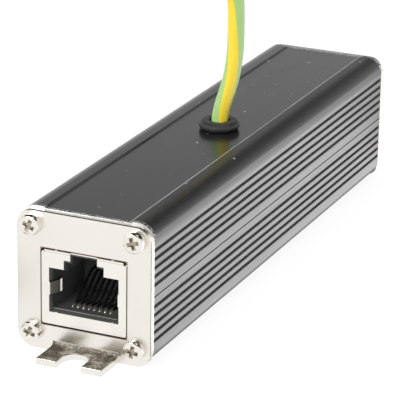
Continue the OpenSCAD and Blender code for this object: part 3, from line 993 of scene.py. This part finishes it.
# %% Turned shapes
def spun(outline, steps=64):
    """A closed turned shape about Y from an outline of (radius, y) points in millimetres."""
    work = bmesh.new()
    ring = [work.verts.new((radius * MM, y * MM, 0)) for radius, y in outline]
    edges = [work.edges.new(pair) for pair in zip(ring, ring[1:])]
    turn = {"cent": (0, 0, 0), "axis": (0, 1, 0), "angle": math.tau, "steps": steps, "use_merge": True}
    bmesh.ops.spin(work, geom=ring + edges, **turn)
    bmesh.ops.remove_doubles(work, verts=work.verts, dist=1e-7)
    bmesh.ops.recalc_face_normals(work, faces=work.faces)
    return as_mesh(work, "spun")


def arc(x, y, radius, first, last, count):
    """Points on an arc, with its angles in degrees."""
    turns = [math.radians(first + (last - first) * k / count) for k in range(count + 1)]
    return [(x + radius * math.cos(t), y + radius * math.sin(t)) for t in turns]


print("outlines can be turned")

# %% One screw
head_r = 1.87
head_h = 1.4
head_round = 0.5
head_crown = 0.05
shank_r = 0.85
screw_l = 8.0
recess_mouth = (1.45, 0.42, -head_h - 0.3)
recess_tip = (0.55, 0.26, -head_h + 0.45)


def cross_wedges():
    """Two crossed wedges that taper from the recess's mouth to its tip."""
    work = bmesh.new()
    for turn in (0, 90):
        corners = []
        for reach, width, y in (recess_mouth, recess_tip):
            corners += [(reach, y, width), (-reach, y, width), (-reach, y, -width), (reach, y, -width)]
        turned = Matrix.Rotation(math.radians(turn), 3, "Y")
        hull = [work.verts.new(turned @ Vector(corner) * MM) for corner in corners]
        for face in ((3, 2, 1, 0), (4, 5, 6, 7), (0, 1, 5, 4), (1, 2, 6, 5), (2, 3, 7, 6), (3, 0, 4, 7)):
            work.faces.new([hull[i] for i in face])
    bmesh.ops.recalc_face_normals(work, faces=work.faces)
    return work


def screw_mesh():
    """A pan head screw along Y, with its seat at Y = 0 and a cross recess."""
    outline = [
        (0, -head_h - head_crown),
        (0.7, -head_h - head_crown * 0.6),
        *arc(head_r - head_round, head_round - head_h, head_round, -82, -12, 8),
        (head_r, -0.12),
        *arc(head_r - 0.1, -0.1, 0.1, 0, 90, 3),
        (shank_r, 0),
        (shank_r, screw_l - 0.6),
        (0.3, screw_l),
        (0, screw_l),
    ]
    mesh = cut_away(spun(outline), cross_wedges(), crossed=True)
    smooth(mesh, 35)
    middles = [face.center / MM for face in mesh.polygons]
    sunk = [float(middle.xz.length < 1.3 and middle.y > 0.06 - head_h) for middle in middles]
    mesh.attributes.new("recess", "FLOAT", "FACE").data.foreach_set("value", sunk)
    return mesh


one_screw = stand("one_screw", screw_mesh())
print("one screw", len(one_screw.data.polygons), "faces")

# %% Screws on the corners
def screw_recipe():
    """Set one thing on each point, turned about Y by the point's own angle and then about Z."""
    recipe = Recipe("set_screws", Screw="Object", End="Float")
    own = recipe.add("GeometryNodeInputNamedAttribute", {"data_type": "FLOAT"}, {"Name": "turn"})
    turn = recipe.add("ShaderNodeCombineXYZ", {}, {"Y": own, "Z": recipe.given("End")})
    rotation = recipe.add("FunctionNodeEulerToRotation", {}, {"Euler": turn})
    points = recipe.add("GeometryNodeMeshToPoints", {}, {"Mesh": recipe.given("Geometry")})
    sockets = {"Points": points, "Instance": recipe.thing("Screw"), "Rotation": rotation}
    recipe.serve(recipe.add("GeometryNodeInstanceOnPoints", {}, sockets))
    return recipe


def screws(side, way, end, turns):
    """The four screws of one plate, from the corner and the angle of each."""
    corners = bpy.data.meshes.new("corners")
    spots = [(x * screw_off * MM, way * face_y * MM, (mid_z + z * screw_off) * MM) for x, z in turns]
    corners.from_pydata(spots, [], [])
    angle = corners.attributes.new("turn", "FLOAT", "POINT")
    angle.data.foreach_set("value", [math.radians(degrees) for degrees in turns.values()])
    name = f"{side}_screw_set"
    mesh = cook(name, screw_recipe(), corners, Screw=one_screw, End=end, Finish=screw_nickel)
    smooth(mesh, 35)
    even_normals(show(name, mesh, screw_nickel, f"{side}_screws"))


screws("front", -1, 0.0, {(-1, 1): 25, (1, 1): -17, (-1, -1): 17, (1, -1): 10})
screws("rear", 1, math.pi, {(1, 1): 40, (-1, 1): 5, (1, -1): -28, (-1, -1): 62})
bpy.data.objects.remove(one_screw)

# %% [markdown]
# ## The jacks
# Inside each shield sits a black moulding with eight gold plated wires. A wire rises out of the
# moulding's floor, turns over in a tight bend near the mouth and runs back up into the comb. The
# bends are what glint in the photograph, so they are round wires with a real radius. A recipe
# sets out four wires at twice the pitch, and is used twice because every other wire ends in a
# second row of holes.

# %% The jack finishes
lip_y = 54.2
lip_z = shield_foot + 2.7
bend_y = 51.8


def moulding():
    """Black plastic with painted light deep inside, and painted shade and a painted highlight on the mouth's
    lower lip.
    """
    black = (0.04, 0.041, 0.039)
    grainy = (0.056, 0.057, 0.054)
    painted_cavity_light = (0.075, 0.078, 0.074)
    shaded = (0.025, 0.025, 0.024)
    lip_highlight_and_finger_shade = (0.3, 0.3, 0.28)
    finish = Finish("black_moulding", Specular_IOR_Level=0.5)
    grain = finish.noise(3500.0, 3.0)
    along, height = finish.axes()[1:]
    # Painted light: deep inside, the plastic is painted paler, lifting the shade there.
    deep = (case_end - abs(along)).above(3.0, 4.0)
    # Painted shade on the front of the mouth's lower lip, and a painted highlight along its edge.
    sill = abs(along).above(lip_y, 0.1) * height.below(lip_z + 0.1, 0.1)
    edge = sill * abs(height - (lip_z - 0.03)).below(0.04, 0.05)
    finish.paint(black, (grain, grainy), (deep, painted_cavity_light), (sill * 0.7, shaded), (edge * 0.5, lip_highlight_and_finger_shade))
    finish.feed("Roughness", 0.34 + grain * 0.14)
    finish.bump(grain, 0.1, 0.02)
    return finish.material


def gold_plate():
    """Thin gold, bright at the bend and painted black as painted shade where the wire runs back into the
    cavity.
    """
    bright = (1.0, 0.96, 0.86)
    gold_wear_and_lip_highlight = (0.94, 0.88, 0.72)
    painted_wire_shade = (0.034, 0.034, 0.032)
    finish = Finish("gold_plate", Metallic=1.0)
    wear = finish.noise(1800.0, 3.0)
    # Painted shade: past the bend the wires are painted nearly black, where they run back into the dark
    # cavity.
    wire_shade_mask = (bend_y - abs(finish.axes()[1])).above(0.9, 1.4)
    finish.paint(bright, (wear, gold_wear_and_lip_highlight), (wire_shade_mask, painted_wire_shade))
    finish.feed("Roughness", 0.3 + wear * 0.12 + wire_shade_mask * 0.45)
    return finish.material


black_moulding = moulding()
gold = gold_plate()
for side in ("front", "rear"):
    softened(f"{side}_jack_housing", f"{side}_insert", black_moulding, 0.03)

# %% The contact wires
pitch = 1.016
contact_r = 0.25
wire_sides = 12
tails = (14.2, 15.9)
row_count = 4
jack_z = mid_z - 7.9
board_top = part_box("circuit_board")[1].z / MM
comb_z = 6.75


def wire_recipe():
    """Round wires along a path, in a row across X."""
    inputs = {"Path": "Object", "Radius": "Float", "Count": "Int", "Step": "Vector", "First": "Vector"}
    recipe = Recipe("wire_row", **inputs)
    line = recipe.add("GeometryNodeMeshToCurve", {}, {"Mesh": recipe.thing("Path")})
    circle = {"Resolution": wire_sides, "Radius": recipe.given("Radius")}
    wire = recipe.swept(line, recipe.add("GeometryNodeCurvePrimitiveCircle", {}, circle))
    places = {"Count": "Count", "Start Location": "First", "Offset": "Step"}
    sockets = {socket: recipe.given(name) for socket, name in places.items()}
    row = recipe.add("GeometryNodeMeshLine", {}, sockets)
    recipe.serve(recipe.add("GeometryNodeInstanceOnPoints", {}, {"Points": row, "Instance": wire}))
    return recipe


def contact_path(tail, end):
    """One contact from its buried tip, over the bend and back to its tail, in Y and Z."""
    corners = [
        (3.0, 1.2, 0),
        (3.0, 2.52, 0.36),
        (4.3, 2.85, 0.5),
        (10.2, comb_z, 1.2),
        (tail, comb_z, 0.5),
        (tail, board_top - jack_z + 0.7, 0),
    ]
    points = [(0, end * (y - face_y) * MM, (jack_z + z) * MM) for y, z in rounded(corners)]
    return drawn(points, closed=False)


def contacts(side, end):
    """The eight contacts of one jack, as one mesh."""
    name = f"{side}_contact_wires"
    across = pitch * MM * end
    work = bmesh.new()
    for parity, tail in enumerate(tails):
        path = contact_path(tail, end)
        work.from_mesh(cook(
            name, wire_recipe(), Path=path, Radius=contact_r * MM, Count=row_count,
            Step=(2 * across, 0, 0), First=((parity - 3.5) * across, 0, 0), Finish=gold,
        ))
        bpy.data.objects.remove(path)
    bmesh.ops.recalc_face_normals(work, faces=work.faces)
    mesh = as_mesh(work, name)
    smooth(mesh, 40)
    show(name, mesh, gold, f"{side}_jack_contacts")


contacts("front", 1)
contacts("rear", -1)

# %% [markdown]
# ## Rubber and the lead's end
# The grommet is matte rubber, the sleeve is shrunk plastic and the ring is tinned copper. They
# keep the model's shapes. The rubber is lighter where its skin has bloomed, which a soft noise
# over its roughness and colour gives.

# %% Grommet, sleeve and ring
def dull_black(name, tone, rough, scale):
    """Black rubber or plastic with a pale bloom."""
    finish = Finish(name, Specular_IOR_Level=0.5)
    bloom = finish.noise(scale, 4.0)
    finish.paint(tone, (bloom, tuple(2.2 * channel for channel in tone)))
    finish.feed("Roughness", rough + (bloom - 0.5) * 0.15)
    finish.bump(finish.noise(scale * 4), 0.2, 0.03)
    return finish.material


rubber = dull_black("grommet_rubber", (0.018, 0.018, 0.018), rough=0.48, scale=700.0)
shrunk = dull_black("shrunk_sleeve", (0.014, 0.014, 0.015), rough=0.42, scale=500.0)
softened("cable_grommet", "grommet", rubber, 0)
sleeve = softened("terminal_sleeve", "crimp_sleeve", shrunk, 0.15)
ring = softened("ring_terminal", "earth_ring", tin, 0.12)

# %% [markdown]
# ## Inside the case
# Nothing inside shows while the case is shut, but each part still gets its own finish, so that
# the model looks right with its shell lifted: a green masked board, plated gas tubes, black
# moulded diodes and a bright solder joint.

# %% Inner finishes
def solder_mask():
    """Green lacquer over the weave of the board."""
    finish = Finish("solder_mask", Specular_IOR_Level=0.5)
    weave = finish.noise(2200.0, 2.0, finish.stretched(1.0, 1.0, 0.2))
    finish.paint((0.01, 0.11, 0.04), (weave, (0.02, 0.16, 0.06)))
    finish.feed("Roughness", 0.3 + weave * 0.1)
    return finish.material


diode_black = dull_black("diode_moulding", (0.012, 0.012, 0.013), rough=0.4, scale=900.0)
tube_metal = plated("tube_metal", (0.7, 0.69, 0.66), 0.3, 0.1, grain=0.2)
inner_finishes = {"circuit_board": solder_mask(), "earth_solder": tin}
for number in range(1, 5):
    inner_finishes[f"gas_tube_{number}"] = tube_metal
    inner_finishes[f"suppressor_{number}"] = diode_black
for node, finish in inner_finishes.items():
    coat(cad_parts[node].data, finish)
print(len(inner_finishes), "inner parts coated")

# %% [markdown]
# ## The lead

# %% The lead
print("lead in place")

# %% [markdown]
# ## The studio
# A product like this is shot on a white table in a dark room. The table fills the lower half of
# every reflection, a pale band lies at the horizon, and the room above is dark, which is what
# gives the black case its shape. The world holds that band and darkness, as one ramp of grey for
# the wall behind the part and one for the wall before it. The camera itself sees white.

# %% World
back_wall = [(0.0, 1.0), (0.2, 0.88), (0.34, 0.7), (0.38, 0.4), (0.43, 0.12), (0.5, 0.04), (1.0, 0.03)]
front_wall = [(0.0, 1.0), (0.2, 0.9), (0.35, 1.1), (0.48, 1.1), (0.58, 0.15), (0.7, 0.04), (1.0, 0.03)]


def studio_world():
    """A room that mirrors see and the camera doesn't."""
    world = bpy.data.worlds.new("studio")
    world.use_nodes = True
    room = Graph(world.node_tree)
    ahead, height = room.parts(room.add("ShaderNodeTexCoord", {}, {}, "Generated"))[1:]
    walls = [
        room.add("ShaderNodeValToRGB", {"stops": [(at, (level,) * 3) for at, level in bands]}, {0: height})
        for bands in (front_wall, back_wall)
    ]
    side = room.add("ShaderNodeMapRange", {}, {0: ahead, 1: -0.3, 2: 0.3})
    camera_ray = room.add("ShaderNodeLightPath", {}, {}, "Is Camera Ray")
    seen = room.blend(camera_ray, room.blend(side, *walls), (1, 1, 1))
    light = room.add("ShaderNodeBackground", {}, {"Color": seen})
    room.put(room.tree.nodes.new("ShaderNodeOutputWorld").inputs[0], light)
    return world


bpy.context.scene.world = studio_world()
print("world made")

# %% [markdown]
# The table is white for the camera. Mirrors see it too: brighter beside the right side, where the
# grooved metal picks it up, and darker under the case and its tabs, where a real table is in
# shade. Matt surfaces see only its plain pale colour, which also takes the part's shadow.

# %% Floor
panel_x = 14.2
panel_y = (-45.0, 58.0)
panel_slant = 2.26
shade_x = 11.2
shade_y = -52.0


def floor_finish():
    """A pale table that glows for the camera and the mirrors, most of all to the right."""
    finish = Finish("pale_table", Base_Color=(0.9, 0.9, 0.9), Roughness=1.0, Specular_IOR_Level=0.0)
    camera_ray = finish.add("ShaderNodeLightPath", {}, {}, "Is Camera Ray")
    mirror_ray = camera_ray.other("Is Glossy Ray")
    across, ahead = finish.axes()[:2]
    beside = (ahead - (across - half) * panel_slant).below(panel_y[1], 6.0)
    panel = across.above(panel_x, 1.8) * ahead.above(panel_y[0], 10.0) * beside
    under = across.below(shade_x, 1.4) * across.above(-half, 4.0) * ahead.above(shade_y, 3.0)
    lit = 1.0 + panel * 2.7 - under * 0.75
    glow = finish.add("ShaderNodeEmission", {}, {"Strength": camera_ray * 1.12 + mirror_ray * 1.05 * lit})
    seen = camera_ray.math("MAXIMUM", camera_ray, mirror_ray)
    mix = finish.add("ShaderNodeMixShader", {}, {0: seen * 0.82, 1: finish.surface, 2: glow})
    finish.put(finish.output.inputs[0], mix)
    return finish.material


reach = 3.0
floor_mesh = bpy.data.meshes.new("table")
floor_corners = [(-reach, -reach, 0), (reach, -reach, 0), (reach, reach, 0), (-reach, reach, 0)]
floor_mesh.from_pydata(floor_corners, [], [(0, 1, 2, 3)])
coat(floor_mesh, floor_finish())
floor = stand("table", floor_mesh)
print("floor made")

# %% [markdown]
# Four soft panels light the part. The ceiling and the window in front are for matt surfaces, and
# mirrors don't see them. The roof light and a small card by the mouth are seen only by mirrors,
# and put the highlights on the top edge and the contacts.

# %% Lamps
def soft_lamp(name, direction, distance, size, power, mirrors=False):
    """A soft panel that faces the middle of the case, for matt finishes or for mirrors."""
    lamp = stand(name, bpy.data.lights.new(name, "AREA"))
    lamp.data.shape = "RECTANGLE"
    lamp.data.size, lamp.data.size_y = size
    lamp.data.energy = power
    towards = Vector(direction).normalized()
    lamp.location = towards * distance
    lamp.rotation_mode = "QUATERNION"
    lamp.rotation_quaternion = towards.to_track_quat("Z", "Y")
    lamp.visible_diffuse = not mirrors
    lamp.visible_glossy = mirrors


soft_lamp("ceiling", (-0.2, -0.1, 0.97), distance=1.1, size=(1.0, 0.7), power=4.5)
soft_lamp("window", (-0.2, -0.8, 0.6), distance=1.4, size=(1.4, 1.4), power=22.0)
soft_lamp("roof_light", (0.25, -0.2, 0.95), distance=1.1, size=(0.45, 0.35), power=0.8, mirrors=True)
soft_lamp("card", (-0.17, -0.9, 0.4), distance=0.09, size=(0.024, 0.014), power=0.0065, mirrors=True)
print("lamps made")
